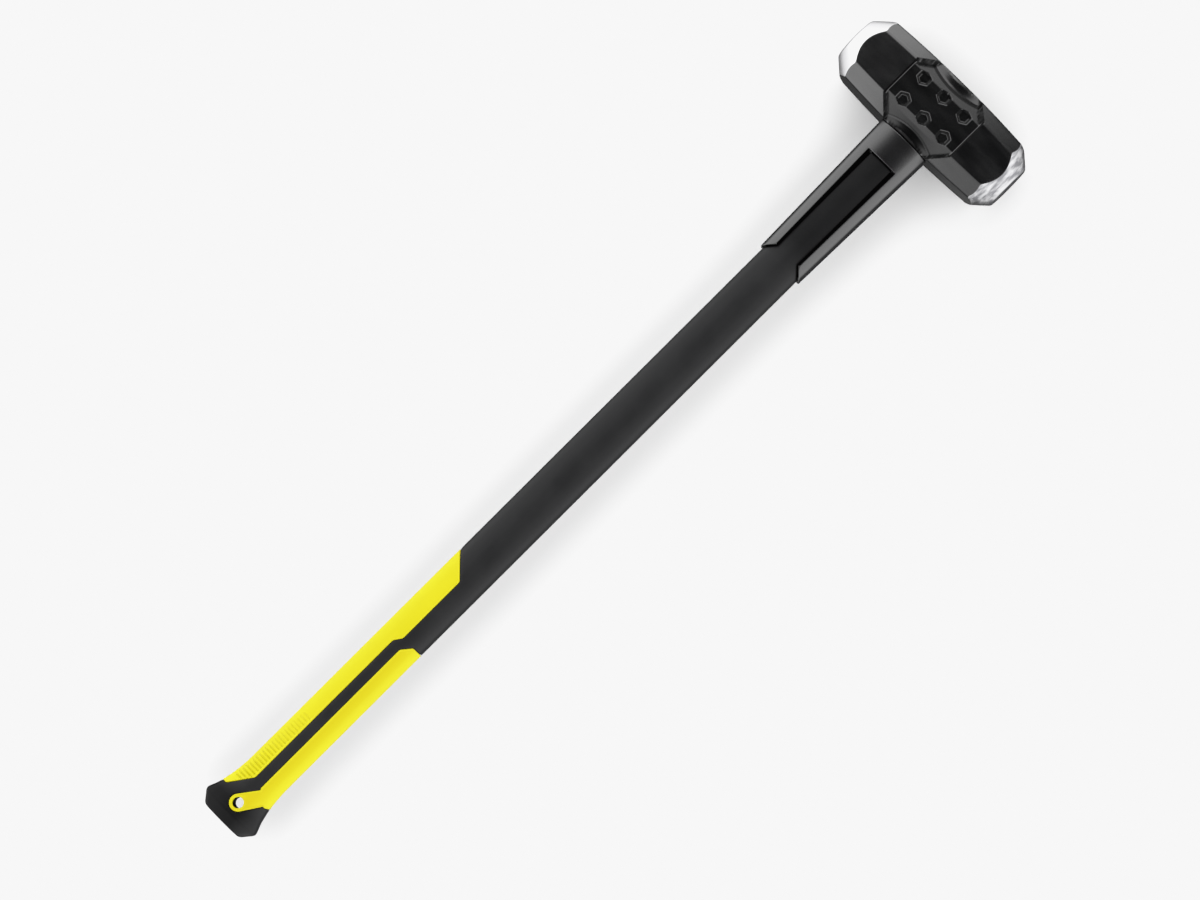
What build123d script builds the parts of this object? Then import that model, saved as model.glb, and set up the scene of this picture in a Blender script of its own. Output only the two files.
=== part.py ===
"""Long-handled sledgehammer, lying on its cheek, in millimetres.

The frame's origin is the centre of the lanyard hole, where it crosses the handle's axis.
+X runs along the handle to the head, +Y along the striking axis, +Z out of the upper cheek.
Seven pieces: a forged steel head, a fibreglass core rod, a moulded jacket with a flared
butt, a sleeve that guards the handle below the head, two soft grip pads let into the
jacket, and the resin that locks the rod in the eye.
"""

from build123d import *
import os
from math import cos, radians, sin, sqrt, tan

os.makedirs("parts", exist_ok=True)

# ---------------------------------------------------------------- whole tool
overall_length = 914.4
butt_overhang = 21.8  # lanyard hole to the end of the butt
through_all = 120.0  # deeper than any section
fit_gap = 0.05  # bonded pieces stay this far apart

# ---------------------------------------------------------------- head
head_length = 189.0  # between the striking faces
head_half_width = 35.85  # along the handle, at the eye
head_half_depth = 33.0  # across the cheeks, at the eye
head_chamfer = 14.65
eye_x = overall_length - butt_overhang - head_half_width
waist_reach = 42.0
waist_size = (35.2, 32.8, 14.25)  # half width, half depth and chamfer leg at the waist's ends
end_size = (32.2, 30.2, 13.2)  # the same at the striking faces

face_radius = 21.4  # flat disc of each striking face
face_edge_radius = 0.9
shoulder = (30.6, 85.4)  # radius and distance from the eye on the turned end
crown_end = (38.0, 75.4)
crown_clear = (60.0, 35.0)

cheek_draft = radians(15)  # walls of the forged recess
chamfer_draft = radians(18)
recess_depth = 3.0
recess_half_length = 40.7  # along the striking axis, on the cheek
recess_half_length_low = 24.8  # the same, on the edge below the chamfer
floor_half_width = 16.8
boss_half_depth = 21.0  # the boss round the eye stands in the recess
boss_radius = 65.0

hex_across_flats = 12.4
hex_depth = 4.0
hex_draft = 27.0
hex_column_spacing = 26.2
hex_row_spacing = 24.3

eye_bottom = (18.5, 13.0)  # half width and half depth of the oval eye
eye_top = (21.0, 15.0)
resin_top_drop = 1.6  # below the top of the head

# ---------------------------------------------------------------- handle
shaft = (20.7, 15.5)  # half width and half depth
broad_radius = 45.0  # crown of the two broad sides
corner_radius = 9.5
rod = (14.5, 10.0)
rod_start = 26.0  # clear of the lanyard hole
rod_end_drop = 6.0  # below the top of the head
flare_stations = (  # distance from the lanyard hole, half width, half depth
    (-10.4, 30.0, 17.6),
    (3.9, 24.9, 16.4),
    (19.9, 21.8, 15.7),
    (36.9, shaft[0], shaft[1]),
)
butt_end = (21.1, 13.0)
butt_edge_radius = 2.0
lanyard_radius = 5.0

# ---------------------------------------------------------------- grip pads
pad_depth = 1.8  # how deep the pads are let in
pad_proud = 0.35
pad_gap = 0.4  # groove all round a pad
strip_half_width = 5.15  # jacket left showing between the pads
tab_radius = 7.8  # tongue of the lower pad, round the lanyard hole
tab_angle = radians(33)
tab_foot = (12.0, -18.8)
tab_heel = (15.4, -24.0)
beyond_edge = 40.0  # past the silhouette of the handle
upper_pad_tip = (4.7, 20.4)
upper_pad_corner = 25.9
upper_step_start = 194.4  # the pads' inner edges step down towards the lower side
lower_step_start = 192.6
pad_step_end = 201.8
lower_pad_step = 12.6
upper_pad_end = 271.2

rib_count = 22
rib_pitch = 3.75
rib_first = 16.5
rib_width = 1.5
rib_depth = 0.9
rib_inner = 6.4
rib_outer = 19.0

# ---------------------------------------------------------------- guard sleeve
sleeve_start = 666.6
sleeve_start_size = (23.4, 17.8)
sleeve_end_size = (27.0, 19.4)
sleeve_broad_radius = 65.0
sleeve_corner_radius = 12.0
window_start = 676.5  # the prongs are cut back to here beside the window
window_end = 793.4
window_start_half_width = 13.5
window_end_half_width = 15.1


def oval(x, size, grown=0.0):
    """An elliptical section across the handle."""
    with BuildSketch(Plane.YZ.offset(x), mode=Mode.PRIVATE) as section:
        Ellipse(size[0] + grown, size[1] + grown)
    return section.sketch


def rounded_section(x, half_width, half_depth, crown, corner, grown=0.0):
    """A section with two crowned broad sides and round narrow sides."""
    centre = crown - half_depth
    with BuildSketch(Plane.YZ.offset(x), mode=Mode.PRIVATE) as section:
        with Locations((0, -centre)):
            Circle(crown + grown)
        with Locations((0, centre)):
            Circle(crown + grown, mode=Mode.INTERSECT)
        Rectangle(2 * (half_width + grown), 4 * half_depth, mode=Mode.INTERSECT)
        fillet(section.vertices(), corner + grown)
    return section.sketch


def grip_form(grown):
    """The handle's outside from the butt's widest ring to the sleeve, grown by an amount."""
    with BuildPart(mode=Mode.PRIVATE) as form:
        for x, half_width, half_depth in flare_stations:
            add(rounded_section(x, half_width, half_depth, broad_radius, corner_radius, grown))
        loft()
        shaft_start = flare_stations[-1][0]
        shaft_end = eye_x - head_half_width - fit_gap
        section = rounded_section(shaft_start, *shaft, broad_radius, corner_radius, grown)
        extrude(section, amount=shaft_end - shaft_start, dir=(1, 0, 0))
    return form.part


def save(piece, name):
    """Labels a finished part and writes its file."""
    piece.part.label = name
    export_step(piece.part, f"parts/{name}.step")


# ================================================================ head
# The recess forged into the waist of the upper cheek and its two chamfers.
chamfer_slant = sqrt(2) * waist_size[2]
narrowing = (recess_half_length - recess_half_length_low) / chamfer_slant
overrun = 1.0
ridge_x = head_half_width - head_chamfer
slope_recess = (ridge_x - floor_half_width + recess_depth) / sqrt(2)

with BuildPart() as recess:
    for side in (1, -1):
        chamfer_plane = Plane(
            origin=(eye_x + side * ridge_x, 0, head_half_depth),
            x_dir=(side, 0, -1),
            z_dir=(side, 0, 1),
        )
        for depth in (-overrun, slope_recess):
            inset = depth * tan(chamfer_draft) * sqrt(1 + narrowing**2)
            near, far = -8.0, chamfer_slant + 8.0
            near_half = recess_half_length - near * narrowing - inset
            far_half = recess_half_length - far * narrowing - inset
            with BuildSketch(chamfer_plane.offset(-depth)):
                Polygon((near, near_half), (far, far_half), (far, -far_half), (near, -near_half), align=None)
        loft()
    with BuildSketch(Plane.YZ.offset(eye_x - through_all / 2)):
        with Locations((0, boss_half_depth - boss_radius)):
            Circle(boss_radius)
    extrude(amount=through_all, mode=Mode.SUBTRACT)
    for depth in (-overrun, recess_depth):
        half_width = floor_half_width + recess_depth - depth
        half_length = recess_half_length - depth * tan(cheek_draft)
        with BuildSketch(Plane((eye_x, 0, head_half_depth - depth))):
            Rectangle(2 * half_width, 2 * half_length)
    loft()
    # Six hexagonal pockets are sunk into the floor.
    with BuildSketch(Plane((eye_x, 0, head_half_depth - recess_depth))):
        with GridLocations(hex_column_spacing, hex_row_spacing, 2, 3):
            RegularPolygon(hex_across_flats / 2, 6, major_radius=False)
    extrude(amount=-hex_depth, taper=hex_draft)

with BuildPart() as eye:
    overrun_start = eye_x - head_half_width - overrun
    overrun_end = eye_x + head_half_width + overrun
    add(oval(overrun_start, eye_bottom))
    add(oval(overrun_end, eye_top))
    loft()

with BuildPart() as head:
    head_stations = (
        (-head_length / 2, *end_size),
        (-waist_reach, *waist_size),
        (0.0, head_half_width, head_half_depth, head_chamfer),
        (waist_reach, *waist_size),
        (head_length / 2, *end_size),
    )
    for distance, half_width, half_depth, leg in head_stations:
        with BuildSketch(Plane(origin=(eye_x, distance, 0), x_dir=(1, 0, 0), z_dir=(0, 1, 0))) as octagon:
            Rectangle(2 * half_width, 2 * half_depth)
            chamfer(octagon.vertices(), leg)
    loft(ruled=True)
    # Both ends are turned down to a round face.
    with BuildSketch(Plane((eye_x, 0, 0))):
        with BuildLine():
            Polyline(
                (0, 0),
                (0, head_length / 2),
                (face_radius, head_length / 2),
                shoulder,
                crown_end,
                crown_clear,
                (crown_clear[0], 0),
                close=True,
            )
        make_face()
        mirror(about=Plane.XZ)
    revolve(axis=Axis((eye_x, 0, 0), (0, 1, 0)), mode=Mode.INTERSECT)
    rims = head.edges().filter_by(GeomType.CIRCLE).filter_by(lambda rim: abs(rim.radius - face_radius) < 0.01)
    fillet(rims, face_edge_radius)
    add(recess.part, mode=Mode.SUBTRACT)
    add(mirror(recess.part, about=Plane.XY, mode=Mode.PRIVATE), mode=Mode.SUBTRACT)
    add(eye.part, mode=Mode.SUBTRACT)

save(head, "head")

# ================================================================ core rod and resin
rod_end = eye_x + head_half_width - rod_end_drop

with BuildPart() as core_rod:
    extrude(oval(rod_start, rod), amount=rod_end - rod_start, dir=(1, 0, 0))

save(core_rod, "core_rod")

with BuildPart() as eye_resin:
    resin_bottom = eye_x - head_half_width
    resin_top = eye_x + head_half_width - resin_top_drop
    add(oval(overrun_start, eye_bottom, -fit_gap))
    add(oval(overrun_end, eye_top, -fit_gap))
    loft()
    split(bisect_by=Plane.YZ.offset(resin_bottom), keep=Keep.TOP)
    split(bisect_by=Plane.YZ.offset(resin_top), keep=Keep.BOTTOM)
    rod_length = rod_end + fit_gap - overrun_start
    extrude(oval(overrun_start, rod, fit_gap), amount=rod_length, dir=(1, 0, 0), mode=Mode.SUBTRACT)

save(eye_resin, "eye_resin")

# ================================================================ grip pads
tab_out = (sin(tab_angle) * tab_radius, cos(tab_angle) * tab_radius)
tab_run = (tab_out[1] + strip_half_width) / tan(tab_angle)

with BuildSketch() as lower_outline:
    with BuildLine():
        Polyline(
            tab_out,
            (tab_out[0] + tab_run, -strip_half_width),
            (lower_step_start, -strip_half_width),
            (pad_step_end, -lower_pad_step),
            (pad_step_end, -beyond_edge),
            (tab_heel[0], -beyond_edge),
            tab_heel,
            tab_foot,
            (-tab_out[0], -tab_out[1]),
            close=True,
        )
    make_face()
    Circle(tab_radius)

with BuildSketch() as upper_outline:
    end_run = shaft[0] + 4.0
    with BuildLine():
        Polyline(
            upper_pad_tip,
            (upper_pad_corner, strip_half_width),
            (upper_step_start, strip_half_width),
            (pad_step_end, 0.0),
            (upper_pad_end, 0.0),
            (upper_pad_end + end_run, end_run),
            (upper_pad_end + end_run, beyond_edge),
            (upper_pad_tip[0], beyond_edge),
            close=True,
        )
    make_face()


def pad_blank(outline, outer, floor, widened):
    """Part of the handle's skin that lies inside an outline, between two growths."""
    with BuildPart(mode=Mode.PRIVATE) as blank:
        add(grip_form(outer))
        with BuildSketch(Plane.XY.offset(-through_all / 2)):
            add(outline.sketch)
            if widened:
                offset(amount=widened, kind=Kind.INTERSECTION)
        extrude(amount=through_all, mode=Mode.INTERSECT)
        add(grip_form(floor), mode=Mode.SUBTRACT)
    return blank.part


with BuildPart() as grip_pad_lower:
    add(pad_blank(lower_outline, pad_proud, -pad_depth + fit_gap, 0.0))
    Cylinder(lanyard_radius, through_all, mode=Mode.SUBTRACT)

save(grip_pad_lower, "grip_pad_lower")

with BuildPart() as rib_cutter:
    middle_rib = rib_first + rib_pitch * (rib_count - 1) / 2
    with BuildSketch(Plane.XY.offset(-through_all / 2)):
        with Locations((middle_rib, (rib_inner + rib_outer) / 2)):
            with GridLocations(rib_pitch, 0, rib_count, 1):
                Rectangle(rib_width, rib_outer - rib_inner)
    extrude(amount=through_all)
    add(grip_form(pad_proud - rib_depth), mode=Mode.SUBTRACT)

with BuildPart() as grip_pad_upper:
    add(pad_blank(upper_outline, pad_proud, -pad_depth + fit_gap, 0.0))
    add(rib_cutter.part, mode=Mode.SUBTRACT)

save(grip_pad_upper, "grip_pad_upper")

# ================================================================ jacket
with BuildPart() as handle_jacket:
    add(rounded_section(-butt_overhang, *butt_end, broad_radius, corner_radius))
    add(rounded_section(*flare_stations[0], broad_radius, corner_radius))
    loft(ruled=True)
    fillet(handle_jacket.faces().sort_by(Axis.X)[0].edges(), butt_edge_radius)
    add(grip_form(0.0))
    for outline in (lower_outline, upper_outline):
        add(pad_blank(outline, 3.0, -pad_depth, pad_gap), mode=Mode.SUBTRACT)
    Cylinder(lanyard_radius, through_all, mode=Mode.SUBTRACT)
    rod_hole = oval(rod_start - fit_gap, rod, fit_gap)
    extrude(rod_hole, amount=overall_length, dir=(1, 0, 0), mode=Mode.SUBTRACT)

save(handle_jacket, "handle_jacket")

# ================================================================ guard sleeve
with BuildPart() as overstrike_sleeve:
    sleeve_end = eye_x - head_half_width - fit_gap
    add(rounded_section(sleeve_start, *sleeve_start_size, sleeve_broad_radius, sleeve_corner_radius))
    add(rounded_section(sleeve_end, *sleeve_end_size, sleeve_broad_radius, sleeve_corner_radius))
    loft(ruled=True)
    bore = rounded_section(sleeve_start - overrun, *shaft, broad_radius, corner_radius, fit_gap)
    extrude(bore, amount=sleeve_end - sleeve_start + 2 * overrun, dir=(1, 0, 0), mode=Mode.SUBTRACT)
    # A window on each broad side, open towards the butt, leaves two prongs with slanted ends.
    with BuildSketch(Plane.XY.offset(-through_all / 2)):
        with BuildLine():
            Polyline(
                (sleeve_start, sleeve_start_size[0]),
                (window_start, window_start_half_width),
                (window_end, window_end_half_width),
                (window_end, 0),
                (sleeve_start - overrun, 0),
                (sleeve_start - overrun, sleeve_start_size[0]),
                close=True,
            )
        make_face()
        mirror(about=Plane.XZ)
    extrude(amount=through_all, mode=Mode.SUBTRACT)

save(overstrike_sleeve, "overstrike_sleeve")
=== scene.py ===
"""Looks for the sledgehammer: every CAD node gets a finer visual piece with its own materials.

Lengths are millimetres in the CAD's frame, turned into metres when a mesh is made. X runs from the
lanyard hole to the head, Y along the striking axis and Z out of the upper cheek.
"""

from math import atan, pi, radians, tan

import bmesh
import bpy
import numpy as np
from mathutils import Matrix, Vector
from mathutils.geometry import delaunay_2d_cdt


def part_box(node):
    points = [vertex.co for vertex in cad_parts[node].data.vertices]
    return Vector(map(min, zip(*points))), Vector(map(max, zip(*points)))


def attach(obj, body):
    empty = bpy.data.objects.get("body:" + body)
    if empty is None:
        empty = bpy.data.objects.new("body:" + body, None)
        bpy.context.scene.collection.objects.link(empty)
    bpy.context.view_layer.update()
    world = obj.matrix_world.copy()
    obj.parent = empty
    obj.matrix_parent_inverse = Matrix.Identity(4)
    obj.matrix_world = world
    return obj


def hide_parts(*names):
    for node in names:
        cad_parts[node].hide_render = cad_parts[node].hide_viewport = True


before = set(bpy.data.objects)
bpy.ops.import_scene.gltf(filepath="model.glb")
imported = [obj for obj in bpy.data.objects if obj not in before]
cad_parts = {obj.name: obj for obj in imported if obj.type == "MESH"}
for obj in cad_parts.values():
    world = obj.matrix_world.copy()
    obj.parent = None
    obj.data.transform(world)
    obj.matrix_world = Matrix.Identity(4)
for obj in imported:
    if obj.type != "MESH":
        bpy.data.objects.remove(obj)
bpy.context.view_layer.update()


def box_mm(node):
    """Lowest and highest corner of a CAD node in millimetres."""
    low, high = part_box(node)
    return np.array(low) * 1000, np.array(high) * 1000


head_low, head_high = box_mm("head")
jacket_low, jacket_high = box_mm("handle_jacket")
sleeve_low, sleeve_high = box_mm("overstrike_sleeve")
rod_low, rod_high = box_mm("core_rod")
resin_low, resin_high = box_mm("eye_resin")
upper_low, upper_high = box_mm("grip_pad_upper")
lower_high = box_mm("grip_pad_lower")[1]

eye_x = (head_low[0] + head_high[0]) / 2
head_half_width = (head_high[0] - head_low[0]) / 2
head_half_length = head_high[1]
head_half_depth = head_high[2]

# -------- handle sizes
# Half width and half depth of the shaft, and the radii of its broad sides and its corners.
SHAFT_WIDTH, SHAFT_DEPTH = 20.7, 15.5
CROWN, CORNER = 45.0, 9.5
# Half width and half depth of the flared grip at four stations, and their slopes there.
FLARE_X = np.array([jacket_low[0] + 11.4, 3.9, 19.9, 36.9])
FLARE_WIDTH = np.array([jacket_high[1] + 0.4, 24.9, 21.8, SHAFT_WIDTH])
FLARE_DEPTH = np.array([17.6, 16.4, 15.7, SHAFT_DEPTH])
FLARE_SLOPE_WIDTH = np.array([-0.44, -0.25, -0.10, 0.0])
FLARE_SLOPE_DEPTH = np.array([-0.09, -0.06, -0.03, 0.0])
# The butt's flat end, the radius of its edge, and the rounding of its widest ring.
BUTT_END = (21.1, 13.0)
BUTT_EDGE = 2.2
RING_DROP, RING_ROUND = 0.8, 2.8
LANYARD_RADIUS = 5.0
BOND_GAP = 0.05

# The pads lie in pockets with a gap all round; a strip of the jacket runs between them.
PAD_FLOOR, POCKET_FLOOR = -1.75, -1.8
PAD_GAP = 0.45
PAD_CORNER = 1.4
STRIP = 5.15
BEYOND = 60.0
# The lower pad's tongue round the lanyard hole.
TAB_RADIUS = 7.8
TAB_ANGLE = radians(33)
TAB_FOOT = (12.0, -18.8)
TAB_HEEL = (15.4, -24.0)
STEP_END = lower_high[0]
UPPER_STEP_X, LOWER_STEP_X = STEP_END - 7.4, STEP_END - 9.2
LOWER_STEP = 12.6
UPPER_TIP = (upper_low[0], 20.4)
UPPER_CORNER_X = 25.9
UPPER_END_X = upper_high[0] - 21.05

RIB_COUNT, RIB_PITCH, RIB_FIRST = 22, 3.75, 16.5
RIB_DEPTH, RIB_GROOVE = 1.55, 1.1
RIB_INNER, RIB_OUTER = 6.2, 20.8

SLEEVE_CROWN, SLEEVE_CORNER = 65.0, 12.0
SLEEVE_START = (23.4, 17.8)
SLEEVE_END = (sleeve_high[1], sleeve_high[2])
WINDOW_START, WINDOW_END = sleeve_low[0] + 9.9, sleeve_high[0] - 27.45
WINDOW_HALF = (13.5, 15.1)
SLEEVE_ROUND = 0.6

EYE_LOW, EYE_HIGH = (18.5, 13.0), (21.0, 15.0)


# -------- meshes
def welded(name, verts, faces):
    """A mesh from millimetre vertices, with doubles merged and its faces turned outwards."""
    mesh = bpy.data.meshes.new(name)
    mesh.from_pydata((np.asarray(verts) * 0.001).tolist(), [], [list(map(int, f)) for f in faces])
    work = bmesh.new()
    work.from_mesh(mesh)
    bmesh.ops.remove_doubles(work, verts=work.verts, dist=2e-6)
    bmesh.ops.dissolve_degenerate(work, edges=work.edges, dist=1e-7)
    bmesh.ops.recalc_face_normals(work, faces=work.faces)
    work.to_mesh(mesh)
    work.free()
    return mesh


def new_object(name, data):
    """An object in the scene."""
    thing = bpy.data.objects.new(name, data)
    bpy.context.scene.collection.objects.link(thing)
    return thing


def add_piece(name, verts, faces, node, slot_name, material, smooth_angle=40.0):
    """Makes a closed, smooth-shaded piece under the root body and hides its CAD node."""
    mesh = welded(name, verts, faces)
    piece = new_object(name, mesh)
    mesh.materials.append(material)
    mesh.shade_smooth()
    mesh.set_sharp_from_angle(angle=radians(smooth_angle))
    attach(piece, "root")
    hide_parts(node)
    return piece


def hermite(x, at, value, slope):
    """Smooth curve through stations with given slopes, constant outside them."""
    x = np.asarray(x, float)
    i = np.clip(np.searchsorted(at, x) - 1, 0, len(at) - 2)
    step = at[i + 1] - at[i]
    t = np.clip((x - at[i]) / step, 0, 1)
    rise = (2 * t**3 - 3 * t**2 + 1) * value[i] + (3 * t**2 - 2 * t**3) * value[i + 1]
    lean = (t**3 - 2 * t**2 + t) * slope[i] + (t**3 - t**2) * slope[i + 1]
    return rise + step * lean


# -------- rounded sections
def section_lengths(width, depth, crown, corner):
    """Corner angle, flat of the side, and lengths along a quarter of a rounded section."""
    alpha = np.arcsin((width - corner) / (crown - corner))
    flat = np.sqrt((crown - corner) ** 2 - (width - corner) ** 2) - (crown - depth)
    crown_length = crown * alpha
    corner_length = corner * (pi / 2 - alpha)
    return alpha, flat, crown_length, crown_length + corner_length, crown_length + corner_length + flat


def on_section(q, width, depth, crown, corner, grown=0.0):
    """Y and Z at share q of the way from the middle of the broad side to the narrow side."""
    alpha, flat, s1, s2, full = section_lengths(width, depth, crown, corner)
    s = np.abs(q) * full
    angle = np.where(s < s1, s / crown, np.minimum(alpha + (s - s1) / corner, pi / 2))
    on_crown = s < s1
    y = np.where(on_crown, crown * np.sin(angle), width - corner + corner * np.sin(angle))
    z_crown = crown * np.cos(angle) - (crown - depth)
    z_corner = flat + corner * np.cos(angle) - np.maximum(s - s2, 0)
    z = np.where(on_crown, z_crown, z_corner)
    side = np.where(np.asarray(q) < 0, -1.0, 1.0)
    return side * (y + grown * np.sin(angle)), z + grown * np.cos(angle)


def length_at(y, width, depth, crown, corner):
    """Length along the section from the middle of the broad side to a given Y."""
    alpha, _, s1, _, full = section_lengths(width, depth, crown, corner)
    reach = np.minimum(np.abs(y), width)
    angle = np.arcsin(np.clip((reach - (width - corner)) / corner, -1, 1))
    on_crown, on_corner = crown * np.arcsin(reach / crown), s1 + corner * (angle - alpha)
    s = np.where(reach < crown * np.sin(alpha), on_crown, on_corner)
    s = np.where(np.abs(y) >= width - 1e-6, full, s)
    return np.sign(y) * s


def grip_size(x):
    """Half width and half depth of the handle."""
    return (
        hermite(x, FLARE_X, FLARE_WIDTH, FLARE_SLOPE_WIDTH),
        hermite(x, FLARE_X, FLARE_DEPTH, FLARE_SLOPE_DEPTH),
    )


def sleeve_size(x):
    """Half width and half depth of the guard sleeve."""
    t = (np.asarray(x, float) - sleeve_low[0]) / (sleeve_high[0] - sleeve_low[0])
    return tuple(start + t * (end - start) for start, end in zip(SLEEVE_START, SLEEVE_END))


# -------- outlines on the unrolled skin
def dense(points, step=0.8):
    """Points every step along a polyline, up to but without its last point."""
    out = []
    for a, b in zip(points[:-1], points[1:]):
        count = max(1, int(np.ceil(np.linalg.norm(b - a) / step)))
        out.extend(a + (b - a) * i / count for i in range(count))
    return np.array(out)


def arc(centre, radius, start, end, count):
    """Points along an arc."""
    angle = np.linspace(start, end, count)
    return np.column_stack([centre[0] + radius * np.cos(angle), centre[1] + radius * np.sin(angle)])


def round_corners(points, radius, steps=5):
    """Rounds every corner of a closed polygon a little."""
    points = np.asarray(points, float)
    out = []
    for i, p in enumerate(points):
        before, after = points[i - 1] - p, points[(i + 1) % len(points)] - p
        la, lb = np.linalg.norm(before), np.linalg.norm(after)
        reach = min(radius, la * 0.45, lb * 0.45)
        a, b = p + before / la * reach, p + after / lb * reach
        for t in np.linspace(0, 1, steps):
            out.append((1 - t) ** 2 * a + 2 * t * (1 - t) * p + t**2 * b)
    return np.array(out)


def inset(points, amount):
    """A closed polygon moved inwards (anticlockwise polygons) by an amount, mitred."""
    ahead = np.roll(points, -1, 0) - points
    ahead /= np.linalg.norm(ahead, axis=1)[:, None]
    behind = np.roll(ahead, 1, 0)
    normal = np.column_stack([-ahead[:, 1] - behind[:, 1], ahead[:, 0] + behind[:, 0]])
    size = np.sum(normal**2, axis=1)
    return points + amount * 2 * normal / size[:, None]


def anticlockwise(points):
    """A polygon, turned round if it runs clockwise."""
    nxt = np.roll(points, -1, 0)
    area = np.sum(points[:, 0] * nxt[:, 1] - nxt[:, 0] * points[:, 1])
    return points if area > 0 else points[::-1]


def closed_outline(points):
    """A polygon with points at every step, anticlockwise and without repeats."""
    points = dense(np.vstack([points, points[:1]]))
    gap = np.linalg.norm(points - np.roll(points, 1, 0), axis=1)
    return anticlockwise(points[gap > 1e-5])


def inside(points, polygon):
    """Which points lie inside a polygon."""
    x, y = points[:, 0][:, None], points[:, 1][:, None]
    ax, ay = polygon[:, 0][None], polygon[:, 1][None]
    bx, by = np.roll(ax, -1, 1), np.roll(ay, -1, 1)
    spans = (ay > y) != (by > y)
    rise = np.where(by == ay, 1e-12, by - ay)
    crossing = ax + (y - ay) / rise * (bx - ax)
    return (np.sum(spans & (x < crossing), axis=1) % 2) == 1


def distance(points, polygon):
    """Distance from points to a polygon's edge, positive inside."""
    a = polygon
    d = np.roll(polygon, -1, 0) - a
    best = np.full(len(points), 1e9)
    for start, way in zip(a, d):
        rel = points - start
        t = np.clip(rel @ way / max(way @ way, 1e-12), 0, 1)
        best = np.minimum(best, np.linalg.norm(rel - t[:, None] * way, axis=1))
    return np.where(inside(points, polygon), best, -best)


def unroll(points, size=grip_size, crown=CROWN, corner=CORNER):
    """Plan outline (X, Y) to (X, length round the section). Past the silhouette it runs straight out."""
    width, depth = size(points[:, 0])
    s = length_at(points[:, 1], width, depth, crown, corner)
    past = np.maximum(np.abs(points[:, 1]) - width, 0)
    return np.column_stack([points[:, 0], s + np.sign(points[:, 1]) * past])


def triangulate(paths, loose, keep):
    """Delaunay triangles over closed paths and loose points, keeping those whose centre passes keep."""
    verts, edges = [], []
    for path in paths:
        start = len(verts)
        verts.extend(path.tolist())
        edges.extend((start + i, start + (i + 1) % len(path)) for i in range(len(path)))
    verts.extend(loose.tolist())
    done = delaunay_2d_cdt([Vector(v) for v in verts], edges, [], 0, 1e-6, False)
    out = np.array([[v.x, v.y] for v in done[0]])
    tris = np.array([t for t in done[2] if len(t) == 3])
    centre = out[tris].mean(1)
    return out, tris[keep(centre)]


def mirror_z(verts, faces):
    """Adds the back half of a skin."""
    back = verts * np.array([1, 1, -1])
    back_faces = [list(f)[::-1] for f in np.array(faces) + len(verts)]
    return np.vstack([verts, back]), list(map(list, faces)) + back_faces


def rim_edges(tris):
    """Boundary edges of a triangle set, in order."""
    seen = {}
    for a, b, c in tris:
        for e in ((a, b), (b, c), (c, a)):
            seen[e] = seen.get(e, 0) + 1
    return [e for e in seen if (e[1], e[0]) not in seen]


def used_only(faces, count):
    """The vertex numbers that faces use, and the faces renumbered to them."""
    used = np.unique(faces)
    renumber = np.full(count, -1)
    renumber[used] = np.arange(len(used))
    return used, renumber[faces]


def grid_points(lines_x, across):
    """The crossings of a grid's inner lines."""
    return np.array([(x, s) for x in lines_x[1:-1] for s in across[1:-1]])


def tube_faces(rings, count):
    """Quads round a tube of equal rings."""
    faces = []
    for i in range(rings - 1):
        for j in range(count):
            k = (j + 1) % count
            faces.append((i * count + j, i * count + k, (i + 1) * count + k, (i + 1) * count + j))
    return faces


def ramp(value, width):
    """0 below zero, 1 past a width and a straight rise between."""
    return np.clip(value / width, 0, 1)


# -------- materials
def new_material(name):
    """An empty node material: its tree, its Principled shader and its object coordinates."""
    material = bpy.data.materials.new(name)
    material.use_nodes = True
    tree = material.node_tree
    shader = tree.nodes["Principled BSDF"]
    place = tree.nodes.new("ShaderNodeTexCoord").outputs["Object"]
    return material, tree, shader, place


def stretched(tree, place, scale):
    """Coordinates scaled apart along the axes."""
    node = tree.nodes.new("ShaderNodeMapping")
    node.inputs["Scale"].default_value = scale
    tree.links.new(place, node.inputs["Vector"])
    return node.outputs["Vector"]


def noise(tree, place, scale, detail=3.0, rough=0.5):
    """Smooth noise from 0 to 1."""
    node = tree.nodes.new("ShaderNodeTexNoise")
    node.inputs["Scale"].default_value = scale
    node.inputs["Detail"].default_value = detail
    node.inputs["Roughness"].default_value = rough
    tree.links.new(place, node.inputs["Vector"])
    return node.outputs["Fac"]


def between(tree, fac, low, high, start=0.3, end=0.7):
    """Maps a value that runs from start to end onto low to high."""
    node = tree.nodes.new("ShaderNodeMapRange")
    node.inputs["From Min"].default_value = start
    node.inputs["From Max"].default_value = end
    node.inputs["To Min"].default_value = low
    node.inputs["To Max"].default_value = high
    tree.links.new(fac, node.inputs["Value"])
    return node.outputs["Result"]


def value_ramp(tree, value, stops):
    """A grey level that follows a value through given stops."""
    node = tree.nodes.new("ShaderNodeValToRGB")
    tree.links.new(value, node.inputs["Fac"])
    for at, level in stops[2:]:
        node.color_ramp.elements.new(at)
    for element, (at, level) in zip(node.color_ramp.elements, stops):
        element.position = at
        element.color = (level, level, level, 1.0)
    return node.outputs["Color"]


def mixed(tree, fac, first, second):
    """A colour between two colours."""
    node = tree.nodes.new("ShaderNodeMix")
    node.data_type = "RGBA"
    tree.links.new(fac, node.inputs["Factor"])
    for socket, colour in ((node.inputs["A"], first), (node.inputs["B"], second)):
        if isinstance(colour, tuple):
            socket.default_value = (*colour, 1.0)
        else:
            tree.links.new(colour, socket)
    return node.outputs["Result"]


def calc(tree, kind, first, second):
    """A sum on numbers or sockets."""
    node = tree.nodes.new("ShaderNodeMath")
    node.operation = kind
    for socket, value in zip(node.inputs, (first, second)):
        if isinstance(value, (int, float)):
            socket.default_value = value
        else:
            tree.links.new(value, socket)
    return node.outputs["Value"]


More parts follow.
